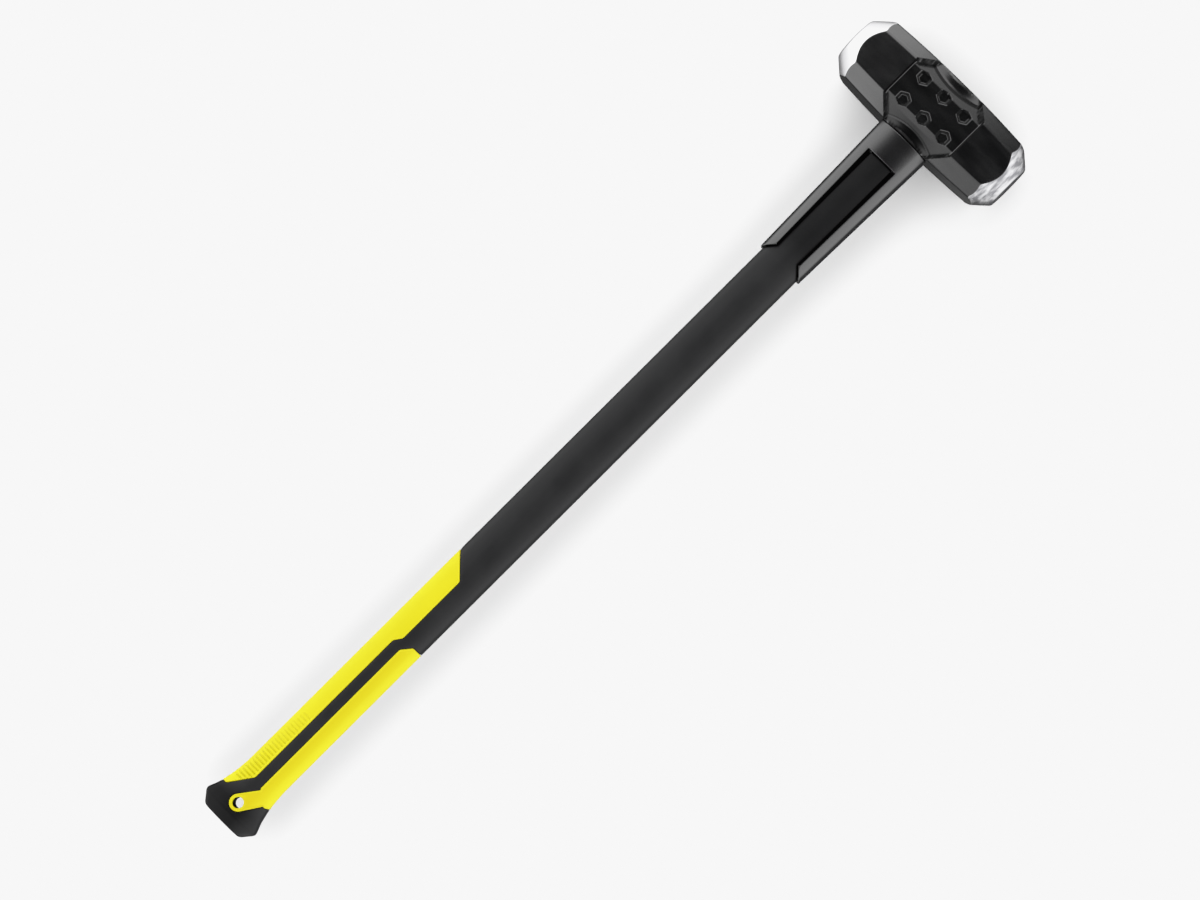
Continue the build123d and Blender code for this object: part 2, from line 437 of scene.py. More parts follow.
def bumped(tree, shader, height, strength, depth):
    """Tilts a shader's normal along a height."""
    node = tree.nodes.new("ShaderNodeBump")
    node.inputs["Strength"].default_value = strength
    node.inputs["Distance"].default_value = depth
    tree.links.new(height, node.inputs["Height"])
    tree.links.new(node.outputs["Normal"], shader.inputs["Normal"])


def stored(tree, name):
    """A value kept on the mesh's vertices."""
    node = tree.nodes.new("ShaderNodeAttribute")
    node.attribute_name = name
    return node.outputs["Fac"]


# Colour where the stored shade is full.
SHADE = (0.001, 0.001, 0.001)


def head_material():
    """Gloss black paint, with bright turned steel where the vertex value says so."""
    material, tree, shader, place = new_material("head_paint_and_steel")
    bare = between(tree, stored(tree, "turned"), 0.0, 1.0, -0.05, 0.05)
    centred = tree.nodes.new("ShaderNodeVectorMath")
    centred.operation = "SUBTRACT"
    centred.inputs[1].default_value = (eye_x / 1000, 0, 0)
    tree.links.new(place, centred.inputs[0])
    parts = tree.nodes.new("ShaderNodeSeparateXYZ")
    tree.links.new(centred.outputs[0], parts.inputs[0])
    squares = [calc(tree, "MULTIPLY", parts.outputs[axis], parts.outputs[axis]) for axis in "XZ"]
    radius = calc(tree, "SQRT", calc(tree, "ADD", *squares), 0.0)
    meridian = calc(tree, "SUBTRACT", parts.outputs["Y"], radius)
    ring = tree.nodes.new("ShaderNodeTexNoise")
    ring.noise_dimensions = "1D"
    ring.inputs["Scale"].default_value = 2600.0
    ring.inputs["Detail"].default_value = 2.0
    tree.links.new(meridian, ring.inputs["W"])
    smears = noise(tree, stretched(tree, place, (1.0, 0.25, 1.0)), 110.0, 3.0)
    flecks = noise(tree, place, 900.0, 2.0)
    peel = noise(tree, place, 420.0, 2.0)
    paint = mixed(tree, between(tree, smears, 0.0, 1.0), (0.0026, 0.0027, 0.0029), (0.0046, 0.0047, 0.0050))
    # The steel of the -Y face is painted darker, partly painted shade for that side and partly grey grinding
    # smears across it; the +Y face stays brighter.
    grinding = noise(tree, stretched(tree, place, (0.35, 2.2, 1.0)), 120.0, 3.0, 0.6)
    used_and_shaded_end = between(tree, parts.outputs["Y"], 1.0, 0.0, -0.02, 0.02)
    smeared = calc(tree, "MULTIPLY", between(tree, grinding, 0.25, 1.0, 0.38, 0.58), used_and_shaded_end)
    polish = mixed(tree, used_and_shaded_end, (0.70, 0.70, 0.71), (0.60, 0.60, 0.61))
    steel = mixed(tree, smeared, polish, (0.17, 0.17, 0.18))
    # Painted shade: the value stored on the vertices blackens the paint and takes away its gloss.
    painted_shade = stored(tree, "painted_shade")
    paint = mixed(tree, painted_shade, paint, SHADE)
    tree.links.new(mixed(tree, bare, paint, steel), shader.inputs["Base Color"])
    tree.links.new(bare, shader.inputs["Metallic"])
    shine = calc(tree, "MULTIPLY", calc(tree, "SUBTRACT", 1.0, painted_shade), 0.95)
    tree.links.new(shine, shader.inputs["Specular IOR Level"])
    paint_rough = between(tree, smears, 0.17, 0.24)
    steel_rough = between(tree, ring.outputs["Fac"], 0.26, 0.40)
    blend = tree.nodes.new("ShaderNodeMix")
    tree.links.new(bare, blend.inputs["Factor"])
    tree.links.new(paint_rough, blend.inputs["A"])
    tree.links.new(steel_rough, blend.inputs["B"])
    tree.links.new(blend.outputs["Result"], shader.inputs["Roughness"])
    grooves = calc(tree, "MULTIPLY", ring.outputs["Fac"], bare)
    skin = calc(tree, "MULTIPLY", calc(tree, "ADD", peel, calc(tree, "MULTIPLY", flecks, 0.25)), 0.6)
    bumped(tree, shader, calc(tree, "ADD", skin, grooves), 0.12, 0.00008)
    return material


def plastic_material(name, dark, light, rough, gloss, grain_scale, grain, streak=(0.05, 1.0, 1.0)):
    """Moulded plastic: fine spark grain, long faint flow marks and uneven sheen."""
    material, tree, shader, place = new_material(name)
    flow = noise(tree, stretched(tree, place, streak), 140.0, 3.0)
    fine = noise(tree, place, grain_scale, 3.0, 0.6)
    cloud = noise(tree, place, 35.0, 2.0)
    patches = calc(tree, "MULTIPLY", calc(tree, "ADD", flow, cloud), 0.5)
    colour = mixed(tree, between(tree, patches, 0.0, 1.0), dark, light)
    # Painted shade: the value stored on the vertices blackens the plastic and takes away its gloss.
    painted_shade = stored(tree, "painted_shade")
    tree.links.new(mixed(tree, painted_shade, colour, SHADE), shader.inputs["Base Color"])
    shine = calc(tree, "MULTIPLY", calc(tree, "SUBTRACT", 1.0, painted_shade), gloss)
    tree.links.new(shine, shader.inputs["Specular IOR Level"])
    sheen = calc(tree, "ADD", calc(tree, "MULTIPLY", fine, 0.5), calc(tree, "MULTIPLY", cloud, 0.5))
    tree.links.new(between(tree, sheen, rough[0], rough[1]), shader.inputs["Roughness"])
    bumped(tree, shader, fine, grain, 0.00012)
    return material


def paint_pad_shade(material):
    """Painted shade: turns the pads' yellow golden where the skin faces up and leans a little towards -Y,
    their lower side.
    """
    tree = material.node_tree
    shader = tree.nodes["Principled BSDF"]
    facing = tree.nodes.new("ShaderNodeSeparateXYZ")
    tree.links.new(tree.nodes.new("ShaderNodeNewGeometry").outputs["Normal"], facing.inputs[0])
    tilt = between(tree, facing.outputs["Y"], 0.0, 1.0, -1.0, 1.0)
    stops = [(0.1, 0.0), (0.32, 0.35), (0.42, 1.0), (0.47, 1.0), (0.53, 0.35), (0.7, 0.0)]
    pad_shade = value_ramp(tree, tilt, stops)
    plain = shader.inputs["Base Color"].links[0].from_socket
    tree.links.new(mixed(tree, pad_shade, plain, (0.55, 0.445, 0.002)), shader.inputs["Base Color"])


# -------- ring bodies
def ring_body(rows, count=96):
    """Closed body from elliptical rings along X: rows of x, half width (Y) and half depth (Z)."""
    angle = np.linspace(0, 2 * pi, count, endpoint=False)
    y, z = np.cos(angle), np.sin(angle)
    verts = np.vstack([np.column_stack([np.full(count, x), a * y, b * z]) for x, a, b in rows])
    return verts, tube_faces(len(rows), count)


def eye_size(x, grown=0.0):
    """Half width and half depth of the tapered eye."""
    t = (x - (eye_x - head_half_width - 1)) / (2 * head_half_width + 2)
    return tuple(low + (high - low) * t + grown for low, high in zip(EYE_LOW, EYE_HIGH))


# -------- skins of the handle
# Half width of the flat domain that each skin is triangulated on.
UNROLLED = 27.0


def grip_length(x):
    """Length round a quarter of the handle's section."""
    width, depth = grip_size(x)
    return section_lengths(width, depth, CROWN, CORNER)[4]


def on_handle(q, x, width, depth, grown=0.0):
    """Points of the handle's skin at X, share q of the way round a quarter."""
    y, z = on_section(q, width, depth, CROWN, CORNER, grown)
    return np.column_stack([np.full(len(q), x), y, z])


def to_domain(unrolled, length_of):
    """(x, length) to the plane where the silhouettes are straight lines at +-UNROLLED."""
    return np.column_stack([unrolled[:, 0], unrolled[:, 1] / length_of(unrolled[:, 0]) * UNROLLED])


def from_domain(points, length_of):
    """The way back from to_domain."""
    return np.column_stack([points[:, 0], points[:, 1] / UNROLLED * length_of(points[:, 0])])


def border(lines_x, across):
    """The domain's edge: both silhouettes and both end lines."""
    top = np.column_stack([lines_x, np.full(len(lines_x), UNROLLED)])
    start = [(lines_x[0], s) for s in across[1:-1]]
    end = [(lines_x[-1], s) for s in across[1:-1]]
    return np.vstack([top * (1, -1), end, top[::-1], start[::-1]])


ACROSS = np.linspace(-UNROLLED, UNROLLED, 49)


def upper_plan():
    """Plan of the upper pad, run on past the silhouette."""
    end_x = UPPER_END_X + SHAFT_WIDTH
    points = [
        UPPER_TIP,
        (UPPER_CORNER_X, STRIP),
        (UPPER_STEP_X, STRIP),
        (STEP_END, 0.0),
        (UPPER_END_X, 0.0),
        (end_x, SHAFT_WIDTH),
        (end_x, BEYOND),
        (UPPER_TIP[0], BEYOND),
    ]
    return closed_outline(round_corners(points, PAD_CORNER))


def lower_plan():
    """Plan of the lower pad, with its tongue round the lanyard hole."""
    out = TAB_RADIUS * np.array([np.sin(TAB_ANGLE), np.cos(TAB_ANGLE)])
    run = (out[1] + STRIP) / tan(TAB_ANGLE)
    turn = atan(out[1] / out[0])
    nose = arc((0, 0), TAB_RADIUS, turn, turn + pi, 40)
    rest = [
        TAB_FOOT,
        TAB_HEEL,
        (TAB_HEEL[0], -BEYOND),
        (STEP_END, -BEYOND),
        (STEP_END, -LOWER_STEP),
        (LOWER_STEP_X, -STRIP),
        (out[0] + run, -STRIP),
    ]
    return closed_outline(np.vstack([nose, round_corners(rest, PAD_CORNER)]))


UPPER_OUTLINE = unroll(upper_plan())
LOWER_OUTLINE = unroll(lower_plan())


def lanyard_ring(radius, count=48):
    """A ring round the lanyard hole."""
    return arc((0, 0), radius, 0, 2 * pi * (count - 1) / count, count)


def from_hole(flat):
    """Distance from the lanyard hole's centre."""
    return np.hypot(flat[:, 0], flat[:, 1])


def rib_height(x, y):
    """Cross grooves of the upper pad, fading and shortening towards the head."""
    height = np.zeros(len(x))
    for i in range(RIB_COUNT):
        share = i / (RIB_COUNT - 1)
        groove = np.clip(1 - np.abs(x - RIB_FIRST - RIB_PITCH * i) / RIB_GROOVE, 0, 1)
        outer = RIB_OUTER - 4.5 * share
        window = ramp(y - RIB_INNER, 0.9) * ramp(outer - y, 1.6)
        height -= RIB_DEPTH * (1.15 - 0.6 * share) * groove * window
    return height


# Distance from the edge and height over the handle's skin.
PAD_PROFILE = np.array(
    [[0.0, PAD_FLOOR], [0.05, -0.15], [0.18, 0.28], [0.4, 0.45], [0.85, 0.45], [1.25, 0.16], [1.6, 0.12]]
)
JACKET_PROFILE = np.array([[-0.05, POCKET_FLOOR], [0.0, -0.35], [0.2, -0.1], [0.5, 0.0]])


def build_pad(name, outline, node, material, lines_x, hole=None, ribs=False):
    """A soft pad: top with a raised lip round its edge, underside and walls."""
    paths = [to_domain(inset(outline, d), grip_length) for d in PAD_PROFILE[:, 0]]
    clear = PAD_PROFILE[-1, 0] + 0.3
    grid = grid_points(lines_x, ACROSS)
    grid = grid[distance(from_domain(grid, grip_length), outline) > clear]
    if hole:
        paths += [to_domain(lanyard_ring(hole + d), grip_length) for d in PAD_PROFILE[:, 0]]
        grid = grid[from_hole(from_domain(grid, grip_length)) > hole + clear]

    def keep(centre):
        flat = from_domain(centre, grip_length)
        good = (np.abs(centre[:, 1]) < UNROLLED) & inside(flat, outline)
        if hole:
            good &= from_hole(flat) > hole
        return good

    points, tris = triangulate(paths + [border(lines_x, ACROSS)], grid, keep)
    flat = from_domain(points, grip_length)
    deep = distance(flat, outline)
    if hole:
        deep = np.minimum(deep, from_hole(flat) - hole)
    height = np.interp(deep, *PAD_PROFILE.T)
    x, q = points[:, 0], points[:, 1] / UNROLLED
    size = grip_size(x)
    if ribs:
        height += rib_height(x, on_handle(q, x, *size)[:, 1])
    sheets = np.vstack([on_handle(q, x, *size, height), on_handle(q, x, *size, PAD_FLOOR)])
    used, faces = used_only(np.vstack([tris, tris[:, ::-1] + len(points)]), len(sheets))
    verts, faces = mirror_z(sheets[used], faces)
    pad = add_piece(name, verts, faces, node, "grip", material, 50.0)
    # The pads throw no yellow light onto what stands beside them.
    pad.visible_diffuse = False


def sheet_faces(rows, count):
    """Quads over a sheet of equal rows of vertices."""
    numbers = np.arange(rows * count).reshape(rows, count)
    corners = (numbers[:-1, :-1], numbers[:-1, 1:], numbers[1:, 1:], numbers[1:, :-1])
    return np.stack(corners, -1).reshape(-1, 4)


def ring_drop(x):
    """Rounds the edge of the butt's widest ring."""
    return -RING_DROP * np.clip(1 - np.abs(np.asarray(x) - FLARE_X[0]) / RING_ROUND, 0, 1) ** 2


def set_values(piece, name, rule):
    """Stores a number on every vertex of a piece, worked out from its place in millimetres."""
    count = len(piece.data.vertices)
    places = np.zeros(count * 3, np.float32)
    piece.data.vertices.foreach_get("co", places)
    values = rule(places.reshape(-1, 3) * 1000)
    piece.data.attributes.new(name, "FLOAT", "POINT").data.foreach_set("value", values.astype(np.float32))


def jacket_painted_shade(places):
    """Painted shade beside the sleeve's window walls and on the skin under the sleeve, and a painted darker
    butt, less dark on its -Y side.
    """
    x, y = places[:, 0], places[:, 1]
    half_plan = [
        (-100.0, 30.0),
        (sleeve_low[0], 30.0),
        (sleeve_low[0], SLEEVE_START[0]),
        (WINDOW_START, WINDOW_HALF[0]),
        (WINDOW_END + 1.8, WINDOW_HALF[1]),
    ]
    open_skin = np.array(half_plan + [(at, -half) for at, half in half_plan[::-1]])
    reach = 3.1 + 0.9 * ramp(x - WINDOW_START, WINDOW_END - WINDOW_START)
    window_shade = ramp(reach - distance(places[:, :2], open_skin), 1.2)
    # The skin under the sleeve, seen through the window, gets painted shade too.
    window_shade = np.maximum(window_shade, 0.45 * ramp(x - sleeve_low[0], 25.0))
    # Painted shade darkens the butt, less on its -Y side.
    butt = 0.6 * ramp(14.0 - x, 16.0) * np.clip((y + 32.0) / 24.0, 0.3, 1)
    return np.where(x > sleeve_low[0] - 5, window_shade, butt)


GRIP_END = 300.0


def jacket_skin():
    """The grip's skin, with pockets for the pads and the wall of the lanyard hole."""
    lines_x = np.concatenate([np.arange(FLARE_X[0], 40, 1.4), np.arange(40, GRIP_END, 4.0), [GRIP_END]])
    pockets = [inset(UPPER_OUTLINE, -PAD_GAP), inset(LOWER_OUTLINE, -PAD_GAP)]
    paths = [border(lines_x, ACROSS)]
    for pocket in pockets:
        paths += [to_domain(inset(pocket, -d), grip_length) for d in JACKET_PROFILE[:, 0]]
    paths.append(to_domain(lanyard_ring(LANYARD_RADIUS), grip_length))

    def into_pocket(flat):
        return np.maximum(distance(flat, pockets[0]), distance(flat, pockets[1]))

    def keep(centre):
        within = (np.abs(centre[:, 1]) < UNROLLED) & (centre[:, 0] > lines_x[0]) & (centre[:, 0] < GRIP_END)
        return within & (from_hole(from_domain(centre, grip_length)) > LANYARD_RADIUS)

    grid = grid_points(lines_x, ACROSS)
    flat = from_domain(grid, grip_length)
    deep = into_pocket(flat)
    clear = (deep > 0.5) | (deep < -JACKET_PROFILE[-1, 0] - 0.3)
    points, tris = triangulate(paths, grid[clear & (from_hole(flat) > LANYARD_RADIUS + 0.5)], keep)
    used, tris = used_only(tris, len(points))
    points = points[used]
    count, x = len(points), points[:, 0]
    flat = from_domain(points, grip_length)
    height = np.interp(-into_pocket(flat), *JACKET_PROFILE.T) + ring_drop(x)
    verts, faces = mirror_z(on_handle(points[:, 1] / UNROLLED, x, *grip_size(x), height), tris)
    on_ring = np.abs(from_hole(flat) - LANYARD_RADIUS) < 0.02
    wall = [(a, b, b + count, a + count) for a, b in rim_edges(tris) if on_ring[a] and on_ring[b]]
    return verts, faces + wall


def butt_rows(q):
    """Cross sections from the middle of the butt's end, round its edge, to its widest ring."""
    end_x, ring_x = jacket_low[0], FLARE_X[0]
    outer = on_handle(q, end_x, *BUTT_END, -BUTT_EDGE)
    rows = [outer * (1, share, share) for share in (0.0, 0.25, 0.5, 0.75, 0.92)]
    stations = []
    for turn in np.linspace(pi / 2, 0, 7):
        stations.append((end_x + BUTT_EDGE * (1 - np.sin(turn)), -BUTT_EDGE * (1 - np.cos(turn))))
    stations += [(x, 0.0) for x in np.linspace(end_x + BUTT_EDGE, ring_x - RING_ROUND, 6)[1:]]
    stations += [(ring_x - back, 0.0) for back in (2.0, 1.4, 0.9, 0.4, 0.0)]
    for x, grown in stations:
        t = (x - end_x) / (ring_x - end_x)
        width = BUTT_END[0] + t * (FLARE_WIDTH[0] - BUTT_END[0])
        depth = BUTT_END[1] + t * (FLARE_DEPTH[0] - BUTT_END[1])
        rows.append(on_handle(q, x, width, depth, grown + ring_drop(x)))
    return rows


def shaft_rows(q):
    """Cross sections of the plain shaft up to its end, then back down the bore."""
    x_end = jacket_high[0]
    # Closer together where painted shade beside the sleeve's end and window lies on the skin.
    stations = [
        np.arange(GRIP_END, sleeve_low[0] - 6, 8.0),
        np.arange(sleeve_low[0] - 4, WINDOW_START + 3, 0.8),
        np.arange(WINDOW_START + 4, WINDOW_END - 4, 6.0),
        np.arange(WINDOW_END - 3, WINDOW_END + 1, 0.5),
        [x_end - 0.4],
    ]
    rows = [on_handle(q, x, SHAFT_WIDTH, SHAFT_DEPTH) for x in np.concatenate(stations)]
    rows.append(on_handle(q, x_end, SHAFT_WIDTH, SHAFT_DEPTH, -0.3))
    turn = pi / 2 - q * pi / 2
    bore_y, bore_z = (rod_high[1] + BOND_GAP) * np.cos(turn), (rod_high[2] + BOND_GAP) * np.sin(turn)
    for x in np.linspace(x_end, rod_low[0] - BOND_GAP, 24):
        rows.append(np.column_stack([np.full(len(q), x), bore_y, bore_z]))
    rows.append(rows[-1] * (1, 0, 0))
    return rows


def build_jacket(material):
    """The black shell: flared butt, grip with pockets for the pads, plain shaft and inner bore."""
    verts, faces = jacket_skin()
    q = ACROSS / UNROLLED
    for rows in (butt_rows(q), shaft_rows(q)):
        start = len(verts)
        more, more_faces = mirror_z(np.vstack(rows), sheet_faces(len(rows), len(q)))
        verts = np.vstack([verts, more])
        faces += [[v + start for v in f] for f in more_faces]
    jacket = add_piece("jacket", verts, faces, "handle_jacket", "jacket", material, 50.0)
    set_values(jacket, "painted_shade", jacket_painted_shade)


def sleeve_length(x):
    """Length round a quarter of the sleeve's section."""
    width, depth = sleeve_size(x)
    return section_lengths(width, depth, SLEEVE_CROWN, SLEEVE_CORNER)[4]


# Distance from the edge and height over the sleeve's skin.
SLEEVE_PROFILE = np.array([[0.0, -0.7], [0.1, -0.38], [0.3, -0.12], [0.7, 0.0], [1.2, 0.0], [1.7, 0.0]])


def sleeve_painted_shade(places):
    """Painted shade in the window: its walls and a narrow border of the skin beside them."""
    x, y, z = places.T
    width, depth = sleeve_size(x)
    share = length_at(y, width, depth, SLEEVE_CROWN, SLEEVE_CORNER) / sleeve_length(x)
    skin_z = on_section(share, width, depth, SLEEVE_CROWN, SLEEVE_CORNER)[1]
    wall = ramp(skin_z - np.abs(z) - 0.3, 0.4) * np.clip((WINDOW_END - 1.0 - x) / 0.5, 0.4, 1)
    along = ramp(x - WINDOW_START, WINDOW_END - WINDOW_START)
    prong_y = WINDOW_HALF[0] + along * (WINDOW_HALF[1] - WINDOW_HALF[0])
    beside = ramp(1.1 + 0.65 * along - np.abs(np.abs(y) - prong_y), 0.5)
    beside = np.where((x > WINDOW_START) & (x < WINDOW_END), beside, 0)
    return np.where(np.abs(y) < width - 3.0, np.maximum(wall, beside), 0)


def build_sleeve(material):
    """The guard sleeve: an outer skin with rounded edges, an inner skin and the walls between."""
    low_x, high_x = sleeve_low[0], sleeve_high[0]
    half_plan = [
        (high_x, BEYOND),
        (low_x, BEYOND),
        (low_x, SLEEVE_START[0]),
        (WINDOW_START, WINDOW_HALF[0]),
        (WINDOW_END, WINDOW_HALF[1]),
    ]
    plan = [(high_x, -BEYOND)] + half_plan + [(x, -y) for x, y in half_plan[:0:-1]]
    plan = closed_outline(round_corners(plan, SLEEVE_ROUND))
    outline = unroll(plan, sleeve_size, SLEEVE_CROWN, SLEEVE_CORNER)
    lines_x = np.concatenate([np.arange(low_x, high_x, 4.0), [high_x]])
    across = np.linspace(-UNROLLED, UNROLLED, 57)
    paths = [to_domain(inset(outline, d), sleeve_length) for d in SLEEVE_PROFILE[:, 0]]
    grid = grid_points(lines_x, across)
    grid = grid[distance(from_domain(grid, sleeve_length), outline) > SLEEVE_PROFILE[-1, 0] + 0.4]
    edge = border(np.concatenate([[low_x - 5], lines_x[1:-1], [high_x + 5]]), across[[0, 28, -1]])

    def keep(centre):
        return (np.abs(centre[:, 1]) < UNROLLED) & inside(from_domain(centre, sleeve_length), outline)

    points, tris = triangulate(paths + [edge], grid, keep)
    used, tris = used_only(tris, len(points))
    points = points[used]
    height = np.interp(distance(from_domain(points, sleeve_length), outline), *SLEEVE_PROFILE.T)
    count, x, q = len(points), points[:, 0], points[:, 1] / UNROLLED
    y, z = on_section(q, *sleeve_size(x), SLEEVE_CROWN, SLEEVE_CORNER, height)
    outer, inner = np.column_stack([x, y, z]), on_handle(q, x, SHAFT_WIDTH, SHAFT_DEPTH, BOND_GAP)
    faces = [list(t) for t in tris] + [list(t[::-1] + count) for t in tris]
    mirrored = np.abs(q) > 1 - 1e-6
    for a, b in rim_edges(tris):
        if not (mirrored[a] and mirrored[b]):
            faces.append([a, b, b + count])
            faces.append([a, b + count, a + count])
    verts, faces = mirror_z(np.vstack([outer, inner]), np.array(faces))
    sleeve = add_piece("guard_sleeve", verts, faces, "overstrike_sleeve", "sleeve", material, 50.0)
    set_values(sleeve, "painted_shade", sleeve_painted_shade)


# -------- head
def smax(a, b, blend):
    """The larger of two fields with a rounded change-over."""
    h = np.clip(blend - np.abs(a - b), 0, None) / blend
    return np.maximum(a, b) + h * h * blend / 4


# Half width, half depth and chamfer leg at three stations from the eye, and their slopes there.
REACH = np.array([0.0, 42.0, head_half_length])
HALF_WIDTH, WIDTH_SLOPE = np.array([[head_half_width, 35.2, 32.2], [0.0, -0.036, -0.078]])
HALF_DEPTH, DEPTH_SLOPE = np.array([[33.0, 32.78, 30.2], [0.0, -0.02, -0.079]])
LEG, LEG_SLOPE = np.array([[14.65, 14.25, 13.2], [0.0, -0.015, -0.025]])
CHEEK_HALF = HALF_WIDTH[0] - LEG[0]
# The turned ends: radius of the flat face, then radius and distance from the eye where the cone starts
# and where it would leave the forging.
FACE_RADIUS = 21.4
SHOULDER = (30.6, head_half_length - 9.1)
CROWN_END = (38.0, head_half_length - 19.1)
# The recess: its depth, its half length on the cheek and at the chamfer's foot, the draft of its walls
# and the half width of its flat floor.
RECESS_DEPTH = 3.0
RECESS_HALF, RECESS_LOW = 40.7, 24.8
CHEEK_DRAFT, CHAMFER_DRAFT = tan(radians(15)), tan(radians(18))
FLOOR_HALF = 16.8
BOSS_TOP, BOSS_RADIUS = 21.0, 65.0
# The hexagonal pockets: apothem and depth, and places from the eye.
HEX_APOTHEM, HEX_DEPTH = 6.2, 4.0
HEX_X, HEX_Y = 13.1, 24.3


def forged(a, b, c):
    """Octagonal body: negative inside. a, b, c are distances from the eye along X, Y and Z."""
    width = hermite(b, REACH, HALF_WIDTH, WIDTH_SLOPE)
    depth = hermite(b, REACH, HALF_DEPTH, DEPTH_SLOPE)
    leg = hermite(b, REACH, LEG, LEG_SLOPE)
    slanted = (a + c - (width + depth - leg)) / np.sqrt(2)
    return smax(smax(a - width, slanted, 1.6), smax(c - depth, slanted, 1.6), 0.01)


def turned(a, b, c):
    """The turned ends: negative inside."""
    r = np.sqrt(a * a + c * c)
    first = np.array([SHOULDER[0] - FACE_RADIUS, head_half_length - SHOULDER[1]])
    second = np.array([CROWN_END[0] - SHOULDER[0], SHOULDER[1] - CROWN_END[1]])
    first, second = first / np.linalg.norm(first), second / np.linalg.norm(second)
    bevel = (r - FACE_RADIUS) * first[1] + (b - head_half_length) * first[0]
    cone = (r - SHOULDER[0]) * second[1] + (b - SHOULDER[1]) * second[0]
    return smax(smax(bevel, cone, 2.5), b - head_half_length, 1.2)


def recess_outline(a, b):
    """Distance from the recess's outline (negative inside), and how far down the chamfer a point is."""
    down = np.clip((a - CHEEK_HALF) * np.sqrt(2), 0, None)
    narrowing = (RECESS_HALF - RECESS_LOW) / (LEG[0] * np.sqrt(2))
    slant = np.sqrt(1 + narrowing**2 * np.clip(down, 0, 1))
    return (b + narrowing * down - RECESS_HALF) / slant, down


def over_boss(b, c):
    """Height over the rounded boss that the eye's ends stand on."""
    return np.sqrt(b * b + (c + BOSS_RADIUS - BOSS_TOP) ** 2) - BOSS_RADIUS


def head_field(x, y, z):
    """The whole head: negative inside."""
    a, b, c = np.abs(x), np.abs(y), np.abs(z)
    body = forged(a, b, c)
    field = smax(body, turned(a, b, c), 0.25)
    depth = np.clip(-body, 0, 6)
    edge, down = recess_outline(a, b)
    wall = edge + depth * (CHEEK_DRAFT + (CHAMFER_DRAFT - CHEEK_DRAFT) * np.clip(down, 0, 1))
    floor_z = HALF_DEPTH[0] - RECESS_DEPTH
    floor = smax(c - floor_z, (a + c - floor_z - FLOOR_HALF) / np.sqrt(2), 0.7)
    removed = smax(smax(wall, -floor, 1.2), -over_boss(b, c), 0.8)
    field = smax(field, -removed, 0.35)
    nearest = np.where(b > HEX_Y / 2, HEX_Y, 0.0)
    u, v = a - HEX_X, b - nearest
    slope = (floor_z - c) * 0.5
    sides = np.maximum(np.abs(v), np.abs(u) * np.cos(pi / 6) + np.abs(v) * 0.5) - HEX_APOTHEM + slope
    pocket = smax(sides, floor_z - HEX_DEPTH - c, 0.4)
    return smax(field, -pocket, 0.6)


def bare_steel(places):
    """Positive on the turned ends, negative on the painted forging."""
    a, b, c = np.abs(places - np.array([eye_x, 0, 0])).T
    return turned(a, b, c) - forged(a, b, c)


FLOOR_SHADE, MIDDLE_SHADE, GUARD_SHADE, RING_SHADE = 0.34, 0.28, 0.62, 0.85


def head_painted_shade(places):
    """Painted shade in the forged recess: its floor, the foot of its walls and the rings round the eye's
    boss.
    """
    a, b, c = np.abs(places - np.array([eye_x, 0, 0])).T
    handle_side = ramp(eye_x - places[:, 0], 2.0)
    edge, down = recess_outline(a, b)
    sunk = ramp(-forged(a, b, c) - 0.25, 0.4)
    slanted = np.clip(down, 0, 1)
    foot = ramp(1.0 + 0.9 * slanted - np.abs(edge + 0.3 + 0.6 * slanted), 0.4)
    foot *= np.clip(sunk + 0.72 + 0.2 * (1 - slanted), 0, 1)
    middle = MIDDLE_SHADE * slanted * handle_side * np.clip(1 - b / 30.0, 0, 1)
    boss = over_boss(b, c)
    guard = GUARD_SHADE * ramp(0.5 - boss, 0.4) * handle_side
    reach = 0.6 + 1.3 * (1 - handle_side)
    ring = RING_SHADE * ramp(reach - np.abs(boss - 0.5 - reach), 0.4)
    lip = RING_SHADE * ramp(a - HALF_WIDTH[0] + 3.2, 0.6) * np.clip(c - 17.0, 0, 1) * handle_side
    lip *= ramp(BOSS_TOP + 1.0 - c, 0.5)
    parts = [(FLOOR_SHADE + middle) * sunk, guard * sunk, ring * sunk * slanted, foot, lip]
    return np.where(edge < 0.7, np.maximum.reduce(parts), 0)


def ray_angles():
    """Angles round the striking axis towards points on the middle section."""
    slant = LEG[0] * np.sqrt(2)
    quarter = [(a, HALF_DEPTH[0]) for a in np.linspace(0, CHEEK_HALF, 40)]
    for s in np.concatenate([np.arange(0.5, 8.0, 0.5), np.arange(8.0, slant, 0.92)]):
        quarter.append((CHEEK_HALF + s / np.sqrt(2), HALF_DEPTH[0] - s / np.sqrt(2)))
    quarter += [(HALF_WIDTH[0], c) for c in np.linspace(HALF_DEPTH[0] - LEG[0], 0, 16)]
    angles = np.array([np.arctan2(a, c) for a, c in quarter])
    return np.concatenate([angles, pi - angles[-2::-1], pi + angles[1:], 2 * pi - angles[-2:0:-1]])


def ray_rows():
    """Where on the striking axis each row of rays starts, and its lean from that axis."""
    middles = [
        np.arange(0.28, 8.2, 0.56),
        np.arange(8.6, 16.6, 1.0),
        np.arange(16.9, 31.2, 0.56),
        np.arange(31.5, 42.0, 0.42),
        np.arange(42.6, 69.5, 1.6),
    ]
    last = 70.0
    meridian = np.array([(36.8, last), (36.4, 77.5), SHOULDER, (FACE_RADIUS, head_half_length)])
    flat_face = [(r, head_half_length) for r in (FACE_RADIUS, 21.0, 20.6, 20.0, 17.0, 12.0, 6.0)]
    rows = [(b, pi / 2) for b in np.concatenate(middles)]
    rows += [(last, np.arctan2(r, b - last)) for r, b in [*dense(meridian, 0.68), *flat_face]]
    start, lean = np.array(rows).T
    return np.concatenate([-start[::-1], start]), np.concatenate([pi - lean[::-1], lean])


